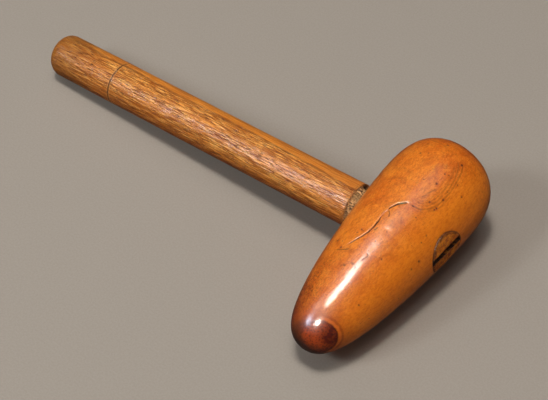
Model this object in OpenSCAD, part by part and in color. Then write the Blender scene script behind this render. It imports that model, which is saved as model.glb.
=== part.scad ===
// Mallet for dressing sheet lead, lying at rest on a flat surface.
// Millimetres. +Z is up, Z = 0 is the surface that it lies on, and the
// origin is under the middle of the whole mallet.
// The handle runs to -X, the nose of the head points to -Y.
// A turned pear-shaped head has a round eye through it. The handle's tenon
// goes through the eye, and a wedge in the tenon's kerf spreads it there.

/* [Head] */
// Length of the head from the nose to the big end
head_length = 152; // [120:1:190]
// Largest diameter of the head
head_diameter = 61; // [56:0.5:70]
// Distance from the nose to the axis of the eye
eye_from_nose = 91.5; // [75:0.5:110]
// How quickly the nose swells out towards full girth, higher is quicker
nose_swell = 1.82; // [1.3:0.02:3]
// Roundness of the nose, lower is blunter
nose_roundness = 0.352; // [0.25:0.001:0.6]
// How far along the big end starts to round over, higher is later
end_squareness = 14.8; // [6:0.2:20]
// Roundness of the big end, lower is flatter
end_roundness = 0.55; // [0.35:0.01:0.8]

/* [Handle] */
// Diameter of the grip
grip_diameter = 27; // [26:0.5:29]
// Distance from the axis of the head to the butt end
butt_from_eye = 262; // [200:1:340]
// Radius of the rounded edge at the butt
butt_rounding = 6.7; // [2:0.1:12]
// Distance from the butt end to the scribed groove
groove_from_butt = 52; // [30:1:80]
// Width of the scribed groove at the surface
groove_width = 1.2; // [0.8:0.1:3]
// Depth of the scribed groove
groove_depth = 0.4; // [0.2:0.1:1]
// Distance from the axis of the head to the shoulder
shoulder_from_eye = 31.3; // [30.5:0.1:38]
// Length of the bevel that steps in from the grip to the tenon
shoulder_bevel = 3; // [2:0.5:6]

/* [Eye and tenon] */
// Diameter of the tenon
tenon_diameter = 24; // [22:0.1:25]
// Radial room for glue between the tenon and the eye
glue_room = 0.05; // [0.02:0.01:0.3]
// How far the trimmed tenon stands above the head's surface
tenon_stand = 0.8; // [0:0.1:3]
// How far the wedge spreads each half of the tenon at its end
tenon_spread = 1; // [0.4:0.1:2]
// Width of the kerf at the tenon's end
kerf_mouth = 3; // [2:0.1:5]
// Width of the saw kerf at its bottom
kerf_floor = 0.9; // [0.6:0.1:2]
// Depth of the kerf from the axis of the head, past it towards the shoulder
kerf_past_eye = 8; // [0:0.5:20]
// How far the kerf lies off the middle of the tenon, upwards
kerf_offset = 2.4; // [-4:0.1:4]

/* [Wedge] */
// How far the wedge's outer end lies below the tenon's end
wedge_recess = 1.8; // [0.5:0.1:5]
// Room left between the wedge's thin end and the bottom of the kerf
wedge_tip_room = 6; // [2:0.5:15]

/* [Rest pose] */
// How far the nose is turned down about the handle, in degrees
nose_drop = 4.6; // [0:0.1:12]

/* [Hidden] */
$fn = 128;
head_steps = 90;
head_r = head_diameter / 2;
grip_r = grip_diameter / 2;
tenon_r = tenon_diameter / 2;
eye_r = tenon_r + glue_room;
reach = head_diameter;
spread_from = 40;

// Girth of the head at share s of its length, before scaling
function girth(s) = pow(max(0, 1 - pow(1 - s, nose_swell)), nose_roundness)
                  * pow(max(0, 1 - pow(s, end_squareness)), end_roundness);
// Shares of the length, closer together at both ends
function share(i) = (1 - cos(180 * i / head_steps)) / 2;
full_girth = max([for (i = [0 : 4 * head_steps]) girth((1 - cos(45 * i / head_steps)) / 2)]);
function head_points(grow) = [for (i = [0 : head_steps])
    [i == 0 || i == head_steps ? 0 : head_r * girth(share(i)) / full_girth + grow,
     head_length * share(i) - eye_from_nose]];

// Outer end of the tenon at the middle of the eye
tenon_end = head_r * girth(eye_from_nose / head_length) / full_girth + tenon_stand;
// The kerf's slope, and its half width at distance x from the head's axis
kerf_slope = (kerf_mouth - kerf_floor) / 2 / (tenon_end + kerf_past_eye);
function kerf_half(x) = kerf_floor / 2 + kerf_slope * (x + kerf_past_eye);
// How far each half of the tenon leans outwards
spread = atan(tenon_spread / (tenon_end + spread_from));

// Lying at rest: the belly of the head and the butt's lower edge touch Z = 0.
// The handle's slope follows from the two heights of the axes' crossing
// above that plane, found by repeating.
function head_low(slope) = max([for (p = head_points(0))
    -p[1] * cos(slope) * sin(nose_drop) + p[0] * sqrt(1 - pow(cos(slope) * sin(nose_drop), 2))]);
function next_slope(slope) = asin((head_low(slope) - butt_rounding - (grip_r - butt_rounding) * cos(slope))
                                  / (butt_from_eye - butt_rounding));
function settle(slope, n) = n == 0 ? slope : settle(next_slope(slope), n - 1);
handle_slope = settle(3, 12);
lift = head_low(handle_slope);

// Extent of the head along a direction, from its own axis system
function head_out(d, grow, near, far) = max([for (p = head_points(grow))
    if (p[1] >= near && p[1] <= far) p[1] * d[1] + p[0] * sqrt(d[0] * d[0] + d[2] * d[2])]);
x_dir = [cos(handle_slope), -sin(handle_slope) * sin(nose_drop), -sin(handle_slope) * cos(nose_drop)];
y_dir = [0, cos(nose_drop), -sin(nose_drop)];
x_high = max(head_out(x_dir, 0, -head_length, head_length),
             head_out(x_dir, tenon_stand, -tenon_r, tenon_r));
x_low = -((butt_from_eye - butt_rounding) * cos(handle_slope)
          + (grip_r - butt_rounding) * sin(handle_slope) + butt_rounding);
y_high = head_out(y_dir, 0, -head_length, head_length);
y_low = -head_out(-y_dir, 0, -head_length, head_length);

// From the mallet's own axes, with the origin where the handle's axis
// crosses the head's, to the way that it lies
module lying() {
    translate([-(x_high + x_low) / 2, -(y_high + y_low) / 2, lift])
        rotate([nose_drop, -handle_slope, 0])
            children();
}

// The turned form of the head, its axis along Y. grow adds to its radius.
module head_form(grow = 0) {
    rotate([-90, 0, 0])
        rotate_extrude()
            polygon(head_points(grow));
}

// A round bar along X from x0 to x1
module bar(r, x0, x1) {
    translate([x0, 0, 0]) rotate([0, 90, 0]) cylinder(h = x1 - x0, r = r);
}

// The kerf's taper between two distances from the head's axis
module kerf_taper(x0, x1, half_length) {
    rotate([90, 0, 0])
        translate([0, kerf_offset, -half_length])
            linear_extrude(height = 2 * half_length)
                polygon([[x0, -kerf_half(x0)], [x1, -kerf_half(x1)],
                         [x1, kerf_half(x1)], [x0, kerf_half(x0)]]);
}

// The upper half of a bar of radius r that leans outwards towards +X
module leaning_half(r, x0) {
    intersection() {
        translate([-spread_from, 0, 0])
            rotate([0, -spread, 0])
                bar(r, x0 + spread_from, 2 * reach);
        translate([-reach, -reach, 0]) cube([3 * reach, 2 * reach, reach]);
    }
}

// Both halves of the spread tenon. The eye flares in the same way.
module spread_bar(r, x0) {
    leaning_half(r, x0);
    mirror([0, 0, 1]) leaning_half(r, x0);
}

module head() {
    color([0.72, 0.42, 0.17]) lying()
        difference() {
            head_form();
            spread_bar(eye_r, 1 - spread_from);
        }
}

// Shaft with rounded butt, scribed groove and bevelled shoulder. The
// profile is drawn with X as the radius and Y as the distance to the butt.
module shaft() {
    groove = butt_from_eye - groove_from_butt;
    rotate([0, -90, 0])
        rotate_extrude() {
            difference() {
                union() {
                    polygon([[0, shoulder_from_eye - shoulder_bevel],
                             [grip_r - shoulder_bevel, shoulder_from_eye - shoulder_bevel],
                             [grip_r, shoulder_from_eye],
                             [grip_r, butt_from_eye - butt_rounding],
                             [grip_r - butt_rounding, butt_from_eye - butt_rounding],
                             [grip_r - butt_rounding, butt_from_eye],
                             [0, butt_from_eye]]);
                    translate([grip_r - butt_rounding, butt_from_eye - butt_rounding])
                        intersection() {
                            circle(r = butt_rounding);
                            square(butt_rounding);
                        }
                }
                polygon([[grip_r + groove_depth, groove - groove_width],
                         [grip_r - groove_depth, groove],
                         [grip_r + groove_depth, groove + groove_width]]);
            }
        }
}

module handle() {
    color([0.78, 0.58, 0.30]) lying()
        difference() {
            union() {
                shaft();
                intersection() {
                    spread_bar(tenon_r, -shoulder_from_eye - 1);
                    union() {
                        head_form(tenon_stand);
                        bar(grip_r, -shoulder_from_eye - 3, -5);
                    }
                }
            }
            kerf_taper(-kerf_past_eye, reach, tenon_r + 2);
        }
}

module wedge() {
    color([0.45, 0.30, 0.16]) lying()
        intersection() {
            kerf_taper(-kerf_past_eye + wedge_tip_room, tenon_end - wedge_recess, tenon_r + 2);
            bar(tenon_r, -kerf_past_eye, reach);
        }
}

head();
handle();
wedge();
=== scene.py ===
import math

import bpy
import numpy as np
from mathutils import Euler, Matrix, Vector, noise


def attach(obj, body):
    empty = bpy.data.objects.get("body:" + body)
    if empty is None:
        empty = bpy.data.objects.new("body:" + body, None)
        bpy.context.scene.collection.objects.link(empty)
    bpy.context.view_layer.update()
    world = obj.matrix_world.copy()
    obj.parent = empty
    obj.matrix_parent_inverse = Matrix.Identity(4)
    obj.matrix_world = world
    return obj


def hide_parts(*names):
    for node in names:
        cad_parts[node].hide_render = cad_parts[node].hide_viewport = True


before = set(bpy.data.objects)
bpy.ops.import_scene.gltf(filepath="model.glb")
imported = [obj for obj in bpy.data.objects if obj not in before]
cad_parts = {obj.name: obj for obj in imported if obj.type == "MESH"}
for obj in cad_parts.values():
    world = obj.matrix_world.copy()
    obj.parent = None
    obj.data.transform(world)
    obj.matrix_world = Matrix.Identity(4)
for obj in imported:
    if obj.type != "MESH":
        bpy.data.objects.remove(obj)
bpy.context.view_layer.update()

# ---------------------------------------------------------------- placing
# Everything is drawn in the mallet's own axes, in millimetres: the origin is
# where the handle's axis crosses the head's, the handle runs to -X, the nose
# points to -Y. place() lays it down as the frame has it, in metres.
NOSE_DROP, SLOPE = math.radians(4.6), math.radians(3.56181)
LIFT = np.array([115.5636, 15.4712, 29.3474])
_ca, _sa = math.cos(NOSE_DROP), math.sin(NOSE_DROP)
_cb, _sb = math.cos(-SLOPE), math.sin(-SLOPE)
TURN = (np.array([[_cb, 0, _sb], [0, 1, 0], [-_sb, 0, _cb]])
        @ np.array([[1, 0, 0], [0, _ca, -_sa], [0, _sa, _ca]]))


def place(p):
    return (np.asarray(p) @ TURN.T + LIFT) / 1000.0


def unplace(p):
    return (np.asarray(p) * 1000.0 - LIFT) @ TURN


# ---------------------------------------------------------------- the head's form
LENGTH, GIRTH_R, NOSE_Y = 152.0, 30.5, -91.5


def _girth(s):
    s = np.clip(s, 0.0, 1.0)
    return (np.clip(1 - (1 - s) ** 1.82, 0, 1) ** 0.352
            * np.clip(1 - s ** 14.8, 0, 1) ** 0.55)


_FULL = _girth(np.linspace(0, 1, 8001)).max()


def head_r(y):
    return GIRTH_R * _girth((np.asarray(y, float) - NOSE_Y) / LENGTH) / _FULL


def head_point(y, th):
    r = head_r(y)
    return np.stack([r * np.cos(th), np.asarray(y) + 0 * r, r * np.sin(th)], -1)


def smooth(a, b, x):
    t = np.clip((np.asarray(x, float) - a) / (b - a), 0, 1)
    return t * t * (3 - 2 * t)


def field(p, scale, seed, octaves=2):
    """Smooth noise of about -1 to 1 over points in millimetres; scale is its wavelength."""
    off = Vector((seed * 17.31, seed * 5.77, seed * 9.13))
    out = np.empty(len(p))
    for i, q in enumerate(p):
        v = Vector(q) / scale + off
        s = noise.noise(v)
        if octaves > 1:
            s += 0.5 * noise.noise(v * 2.03)
        if octaves > 2:
            s += 0.25 * noise.noise(v * 4.1)
        out[i] = s
    return out


def spread_steps(a, b, step):
    """Positions from a to b whose spacing follows step(position)."""
    xs = np.linspace(a, b, 6001)
    d = 1.0 / np.array([step(x) for x in xs])
    c = np.concatenate([[0], np.cumsum((d[1:] + d[:-1]) / 2 * np.diff(xs))])
    n = max(3, int(round(c[-1])))
    return np.interp(np.linspace(0, c[-1], n + 1), c, xs)


def path_points(keys, n=24):
    """A smooth line through (y, angle in degrees) on the head, as points."""
    k = np.array(keys, float)
    k = np.vstack([2 * k[0] - k[1], k, 2 * k[-1] - k[-2]])
    out = []
    for i in range(1, len(k) - 2):
        t = np.linspace(0, 1, n, endpoint=False)[:, None]
        a, b, c, d = k[i - 1], k[i], k[i + 1], k[i + 2]
        out.append(0.5 * (2 * b + (c - a) * t + (2 * a - 5 * b + 4 * c - d) * t ** 2
                          + (3 * b - a - 3 * c + d) * t ** 3))
    out.append(k[-2][None])
    q = np.vstack(out)
    return head_point(q[:, 0], np.radians(q[:, 1]))


def along_path(p, nrm, line):
    """Distance to the line, on which side, and how far along it (0 to 1)."""
    dist = np.full(len(p), 1e9)
    side = np.zeros(len(p))
    where = np.zeros(len(p))
    lo, hi = line.min(0) - 14, line.max(0) + 14
    near = np.where(((p > lo) & (p < hi)).all(1))[0]
    tang = np.gradient(line, axis=0)
    tang /= np.linalg.norm(tang, axis=1)[:, None]
    for s in range(0, len(near), 4000):
        ids = near[s:s + 4000]
        d = np.linalg.norm(p[ids, None] - line[None], axis=2)
        j = d.argmin(1)
        v = p[ids] - line[j]
        along = (v * tang[j]).sum(1)
        ends = ((j == 0) & (along < 0)) | ((j == len(line) - 1) & (along > 0))
        off = np.where(ends, np.linalg.norm(v, axis=1),
                       np.linalg.norm(v - along[:, None] * tang[j], axis=1))
        dist[ids] = off
        side[ids] = np.sign((np.cross(v, tang[j]) * nrm[ids]).sum(1))
        where[ids] = j / (len(line) - 1)
    return dist, side, where


# The shake that opened along a growth ring on top of the head, the lines that
# the same rings draw round the big end, and short checks beside it.
SHAKE = path_points([(-42.0, 110), (-37.7, 104.2), (-33.9, 99.4), (-29.7, 94.6), (-25.0, 92.2), (-19.4, 91.6),
                     (-13.9, 92.6), (-9.9, 91.1), (-6.9, 88.5), (-4.4, 85.2), (-1.2, 79.0)])
LOOP = path_points([(-1.2, 79.0), (-.9, 72), (-.3, 66.3), (1.6, 61.2), (4.7, 56.6), (7.8, 54.2), (11.7, 52.9),
                    (15.3, 52.6), (20.1, 52.8), (25.5, 53.7), (30.5, 55.3), (35.3, 57.6), (38.6, 61.3), (41.9, 67.4)])
RINGS = [(path_points([(5.9, 71.6), (8.5, 70.1), (11.8, 68.2), (16.2, 65.2)]), .8),
         (path_points([(1.8, 58.6), (4.6, 53.4), (9.3, 50.3), (14.3, 49.4), (20.2, 49.9)]), .6),
         (path_points([(15.5, 54.9), (20.6, 55.6), (26.1, 57.0), (31.5, 59.5), (36.2, 63.8), (38.5, 68)]), .8),
         (path_points([(13.5, 58.8), (20.6, 59.3), (25.8, 61.3), (30.9, 63.6), (35.2, 67.2)]), .55),
         (path_points([(6.8, 58.2), (11.0, 56.6), (16.0, 56.8)]), .6),
         (path_points([(24, 47.8), (30, 49.5), (36, 53), (40, 58)]), .4)]
FAINT = path_points([(-44.2, 119), (-43.1, 111), (-42.3, 104.6), (-40.7, 99.4)])
ZIG = [path_points([(-44.0, 77.2), (-42.3, 76.8), (-40.3, 75.1), (-38.8, 75.6), (-38.4, 79.5)]),
       path_points([(-48.9, 89.5), (-47.8, 85.8), (-47.9, 81.2), (-48.6, 77.9), (-50.1, 78.6)]),
       path_points([(-51.8, 96.6), (-50.8, 93.3), (-50.5, 89.1)]),
       path_points([(-10.4, 90.6), (-12.2, 87), (-14.8, 84.6)]),
       path_points([(-25.6, 89.2), (-24.0, 87.9), (-22.4, 87.5)])]

rng = np.random.default_rng(41)

# Dark nicks: (y, angle, radius) in mm and degrees
SPOTS = [(-0.9, 72.0, .60), (7.1, 61.8, .62), (5.9, 52.9, .45), (7.3, 52.2, .50), (13.7, 52.6, .62), (26.6, 51.7, .42),
         (18.5, 68.8, .70), (26.5, 68.9, .42), (27.4, 65.2, .36), (38.4, 61.7, .75), (31.3, 106.1, .50),
         (33.1, 98.3, .34), (27.5, 99.0, .30), (45.2, 89.4, .50), (-27.9, 102.1, .50), (-30.4, 104.6, .36),
         (-37.9, 125.4, .62), (-41.8, 112.0, .50), (-19.9, 24.4, .58), (-26.2, 24.4, .46), (-28.3, 99.5, .30),
         (-22.0, 76.0, .34), (-36.0, 60.0, .36), (-8.0, 40.0, .34), (24.0, 40.0, .36), (-5.2, 62.0, .30),
         (-62.0, 40.0, .40), (-12.0, 150.0, .5), (20.0, -140.0, .6), (-48.0, -60.0, .6), (33.0, -20.0, .5),
         (40.0, 170.0, .6), (-60.0, 160.0, .5)]
BRUISES = [(rng.uniform(-85, 56), rng.uniform(-180, 180), rng.uniform(2.5, 6.5), rng.uniform(.04, .13))
           for _ in range(46)]


def eye_half(x, room):
    """Half height and half width of the eye at x, flared where the wedge spreads the tenon."""
    out = 1.0 * np.clip(np.asarray(x, float) + 40, 0, None) / 70.3
    return 12.0 + room + out, 12.0 + room


def eye_gap(p, room=0.05):
    """Distance in mm outside the eye's wall, measured across the eye."""
    hz, hy = eye_half(p[:, 0], room)
    q = np.sqrt((p[:, 1] / hy) ** 2 + (p[:, 2] / hz) ** 2)
    return (q - 1) * (hy + hz) / 2


def shake_open(w):
    """How far the shake gapes along its length, 0 to 1."""
    first = smooth(.06, .16, w) * (1 - smooth(.50, .57, w)) * (.55 + .30 * smooth(.32, .40, w))
    last = smooth(.68, .72, w) * (1 - smooth(.985, 1, w)) * .78
    return .06 + first + last


def head_relief(p, nrm, y, th):
    """How far each point of the head moves along its normal, in mm."""
    d = -0.08 + 0.055 * field(p, 24.0, 1) + 0.010 * field(p, 6.5, 2)
    # bruises and nicks
    for py, pa, pr, depth in BRUISES:
        c = head_point(py, math.radians(pa))
        q = np.linalg.norm((p - c), axis=1)
        m = q < pr * 1.6
        d[m] -= depth * np.exp(-(q[m] / (pr * .62)) ** 2) * 0.8
        m2 = (q > pr * .8) & (q < pr * 1.7)
        d[m2] += depth * 0.06
    # the open shake: the wood above it lifts into a thin lip
    dist, side, where = along_path(p, nrm, SHAKE)
    m = dist < 13
    w = where[m]
    q = -side[m] * dist[m] + 0.20 * field(p[m], 2.4, 3) + 0.09 * field(p[m], .8, 4, 1)
    open_ = shake_open(w)
    cut = np.exp(-(q / (0.18 + 0.24 * open_)) ** 2) * (0.08 + 0.50 * open_)
    lip = np.where(q > 0, np.exp(-(q / 1.9) ** 2) * 0.11, -np.exp(-(q / 3.0) ** 2) * 0.08)
    fade = smooth(0, .15, w) * (1 - 0.6 * smooth(.9, 1, w))
    d[m] += lip * fade - cut * smooth(0, .05, w)
    # hairline checks
    for line, depth in [(FAINT, .12)] + [(z, .09) for z in ZIG]:
        dist, side, where = along_path(p, nrm, line)
        m = dist < 4
        w = where[m]
        d[m] -= depth * .8 * np.exp(-(dist[m] / .28) ** 2) * smooth(0, .2, w) * (1 - smooth(.8, 1, w))
    # the growth rings that follow the loop stand up a little
    dist, side, where = along_path(p, nrm, LOOP)
    m = dist < 9
    w = where[m]
    q = dist[m] * np.where(side[m] < 0, 1, -1)
    ridge = np.cos(q * 2 * math.pi / 1.45) * smooth(-1.5, 0, q) * (1 - smooth(4.5, 7.5, q))
    d[m] += 0.012 * ridge * smooth(.05, .2, w) * (1 - smooth(.75, .98, w))
    # worn, rounded edges of the eye
    gap = eye_gap(p)
    for s, lim in ((1, 0.14), (-1, 0.40)):
        m = (p[:, 0] * s > 20) & (gap < 3.2)
        g = np.clip(gap[m], 0, None)
        d[m] -= lim * np.exp(-(g / 0.45) ** 2) - 0.04 * np.exp(-((g - 1.4) / .8) ** 2)
    # nothing may stand below the surface that the head lies on
    low = place(p)[:, 2]
    keep = smooth(0.0012, 0.005, low)
    d = np.where(low < 0.005, np.minimum(d, -0.02) * keep, d)
    return d


def new_object(name, verts, faces):
    me = bpy.data.meshes.new(name)
    me.from_pydata(place(verts).tolist(), [], faces)
    me.validate()
    me.update()
    ob = bpy.data.objects.new(name, me)
    bpy.context.scene.collection.objects.link(ob)
    return ob


def revolve_faces(rows, cols, first_pole, last_pole):
    """Quads of a closed grid with a pole vertex at either end."""
    f = []
    base = 1 if first_pole else 0
    if first_pole:
        f += [(0, base + (j + 1) % cols, base + j) for j in range(cols)]
    for i in range(rows - 1):
        a = base + i * cols
        b = a + cols
        for j in range(cols):
            k = (j + 1) % cols
            f.append((a + j, a + k, b + k, b + j))
    if last_pole:
        end = base + rows * cols
        a = base + (rows - 1) * cols
        f += [(end, a + j, a + (j + 1) % cols) for j in range(cols)]
    return f


def apply_boolean(ob, cutter):
    m = ob.modifiers.new("cut", "BOOLEAN")
    m.operation, m.object, m.solver = "DIFFERENCE", cutter, "EXACT"
    dg = bpy.context.evaluated_depsgraph_get()
    me = bpy.data.meshes.new_from_object(ob.evaluated_get(dg))
    ob.modifiers.clear()
    old = ob.data
    ob.data = me
    bpy.data.meshes.remove(old)
    gone = cutter.data
    bpy.data.objects.remove(cutter)
    bpy.data.meshes.remove(gone)
    tidy(ob)
    return ob


def tidy(ob):
    """Split the many-sided faces that a cut leaves, and drop the folded slivers."""
    import bmesh
    bm = bmesh.new()
    bm.from_mesh(ob.data)
    bmesh.ops.remove_doubles(bm, verts=list(bm.verts), dist=3e-6)
    bmesh.ops.dissolve_degenerate(bm, edges=list(bm.edges), dist=2e-6)
    bmesh.ops.triangulate(bm, faces=[f for f in bm.faces if len(f.verts) > 4])
    bmesh.ops.triangulate(bm, faces=[f for f in bm.faces if len(f.verts) == 4
                                     and any(len(v.link_edges) != 4 for v in f.verts)])
    bm.verts.index_update()
    same = {}
    for f in bm.faces:
        same.setdefault(tuple(sorted(v.index for v in f.verts)), []).append(f)
    twins = [f for group in same.values() if len(group) > 1 for f in group]
    if twins:
        bmesh.ops.delete(bm, geom=twins, context="FACES")
    for _ in range(6):
        flaps = [f for f in bm.faces if any(len(e.link_faces) == 1 for e in f.edges)
                 and (any(len(e.link_faces) > 2 for e in f.edges)
                      or sum(len(e.link_faces) == 1 for e in f.edges) > 1)]
        if not flaps:
            break
        bmesh.ops.delete(bm, geom=flaps, context="FACES")
    loose = [v for v in bm.verts if not v.link_faces]
    if loose:
        bmesh.ops.delete(bm, geom=loose, context="VERTS")
    bm.to_mesh(ob.data)
    bm.free()


def set_float(ob, name, values):
    at = ob.data.attributes.new(name, "FLOAT", "POINT")
    at.data.foreach_set("value", np.asarray(values, np.float32))


def mesh_points(ob):
    me = ob.data
    co = np.empty(len(me.vertices) * 3, np.float32)
    me.vertices.foreach_get("co", co)
    return unplace(co.reshape(-1, 3).astype(float))


def smooth_by_angle(ob, degrees=38):
    me = ob.data
    me.shade_smooth()
    bpy.context.view_layer.objects.active = ob
    import bmesh
    bm = bmesh.new()
    bm.from_mesh(me)
    lim = math.radians(degrees)
    for e in bm.edges:
        if len(e.link_faces) == 2:
            e.smooth = e.calc_face_angle(0) < lim
    bm.to_mesh(me)
    bm.free()


# ---------------------------------------------------------------- head
def make_head():
    ys = spread_steps(NOSE_Y, NOSE_Y + LENGTH,
                      lambda y: 0.25 if -46 < y < 2 else (0.95 if y < -88.5 or y > 57 else 1.0)
                      if not (2 <= y < 46) else 0.50)
    # more rows where the ends round over
    s = (ys - NOSE_Y) / LENGTH
    ys = ys[(s > 0.0004) & (s < 0.9996)]
    ends_lo = NOSE_Y + LENGTH * np.array([.0001, .0006, .0014, .0026, .0042])
    ends_hi = NOSE_Y + LENGTH * (1 - np.array([.0042, .0028, .0016, .0008, .0003, .0001]))
    ys = ys[(ys > ends_lo[-1] + .2) & (ys < ends_hi[0] - .2)]
    ys = np.concatenate([ends_lo, ys, ends_hi])
    ths = np.radians(spread_steps(-180, 180, lambda a: 0.50 if 74 < a < 113
                                  else (0.85 if 47 < a < 75 else (1.5 if 10 < a < 135 else 2.2)))[:-1])
    Y, TH = np.meshgrid(ys, ths, indexing="ij")
    y, th = Y.ravel(), TH.ravel()
    p = head_point(y, th)
    h = 0.02
    slope = (head_r(y + h) - head_r(y - h)) / (2 * h)
    nrm = np.stack([np.cos(th), -slope, np.sin(th)], -1)
    nrm /= np.linalg.norm(nrm, axis=1)[:, None]
    p = p + nrm * head_relief(p, nrm, y, th)[:, None]
    tip = np.array([[0, NOSE_Y + .10, 0]])
    end = np.array([[0, NOSE_Y + LENGTH - .10, 0]])
    verts = np.vstack([tip, p, end])
    ob = new_object("head_wood_body", verts, revolve_faces(len(ys), len(ths), True, True))
    # the eye, cut right through
    xs = np.array([-36.0, -30, -24, -10, 0, 10, 20, 26, 30, 36])
    n = 160
    a = np.linspace(0, 2 * math.pi, n, endpoint=False)
    rows = []
    for x in xs:
        hz, hy = eye_half(x, 0.05)
        rows.append(np.stack([np.full(n, x), hy * np.cos(a), hz * np.sin(a)], -1))
    tube = np.vstack([[[xs[0], 0, 0]]] + rows + [[[xs[-1], 0, 0]]])
    cutter = new_object("eye_cutter", tube, revolve_faces(len(xs), n, True, True))
    for o in (ob, cutter):
        fix_normals(o)
    apply_boolean(ob, cutter)
    return ob


def fix_normals(ob):
    import bmesh
    bm = bmesh.new()
    bm.from_mesh(ob.data)
    bmesh.ops.recalc_face_normals(bm, faces=bm.faces)
    bm.to_mesh(ob.data)
    bm.free()


def head_attributes(ob):
    p = mesh_points(ob)
    y = p[:, 1]
    r = np.maximum(np.hypot(p[:, 0], p[:, 2]), 1e-6)
    nrm = np.stack([p[:, 0] / r, 0 * r, p[:, 2] / r], -1)
    inside = smooth(-0.9, -1.8, r - head_r(y))
    # measured on the undisturbed surface, so that a cut's floor counts too
    real = p
    p = head_point(np.clip(y, NOSE_Y + .05, NOSE_Y + LENGTH - .05), np.arctan2(p[:, 2], p[:, 0]))
    # the shake: dark in the cut, grey-green filler near its far end, a pale lip
    dist, side, w = along_path(p, nrm, SHAKE)
    near = dist < 14
    q = -side * dist
    q[near] += 0.20 * field(p[near], 2.4, 3) + 0.09 * field(p[near], .8, 4, 1)
    open_ = shake_open(w)
    wide = 0.15 + 0.28 * open_
    dark = np.exp(-(q / wide) ** 4) * smooth(0, .06, w) * np.clip(0.30 + 1.5 * open_, 0, 1) * (dist < 9)
    set_float(ob, "crack", np.clip(dark, 0, 1) * (1 - inside))
    set_float(ob, "filler", np.exp(-((q - .10) / .40) ** 2) * smooth(.88, .91, w) * (1 - smooth(.97, 1.0, w)) * (dist < 9))
    set_float(ob, "lip", np.exp(-((q - 1.05) / .50) ** 2) * smooth(.05, .25, w) * (.6 + .4 * smooth(.70, .86, w)) * (dist < 9))
    set_float(ob, "bright", np.exp(-((q - .75) / .30) ** 2) * smooth(.80, .90, w) * (dist < 9))
    check = np.zeros(len(p))
    for line in [FAINT] + ZIG:
        dist, side, where = along_path(p, nrm, line)
        check = np.maximum(check, np.exp(-(dist / .34) ** 2) * smooth(0, .2, where) * (1 - smooth(.8, 1, where)))
    set_float(ob, "check", check)
    dist, side, where = along_path(p, nrm, LOOP)
    q = np.where(dist < 15, dist * np.where(side < 0, 1, -1), 20.0)
    set_float(ob, "loop_d", np.clip(q, -20, 20))
    set_float(ob, "loop_a", np.clip(dist, 0, 20))
    set_float(ob, "loop_m", smooth(9.5, 8.0, dist))
    set_float(ob, "loop_w", where)
    lines = np.zeros(len(p))
    for line, strong in [(LOOP, 1.0)] + RINGS:
        dist, side, where = along_path(p, nrm, line)
        near = dist < 3
        gap = dist + 3 * (~near)
        gap[near] = np.abs(dist[near] * side[near] + .22 * field(p[near], 2.6, 51) + .08 * field(p[near], .9, 52, 1))
        lines = np.maximum(lines, strong * np.exp(-(gap / .44) ** 2) * smooth(0, .12, where) * (1 - smooth(.86, 1, where)))
    set_float(ob, "lines", lines)
    p = real
    # rim: where shade and some grime are painted, round the eye's mouth and all over its inner wall
    gap = eye_gap(p)
    rim = np.where(p[:, 0] > 18, np.exp(-(np.clip(gap, 0, None) / .40) ** 2),
                   np.exp(-(np.clip(gap, 0, None) / .8) ** 2) * (p[:, 0] < -18))
    set_float(ob, "rim", np.clip(np.maximum(rim, inside), 0, 1))


# ---------------------------------------------------------------- handle
GRIP_R, BUTT, GROOVE, SHOULDER, ROUND = 13.5, 262.0, 210.0, 31.3, 6.7


def head_x(y, z):
    """X of the head's far surface above (y, z)."""
    return np.sqrt(np.clip(head_r(y) ** 2 - np.asarray(z) ** 2, 1, None))


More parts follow.
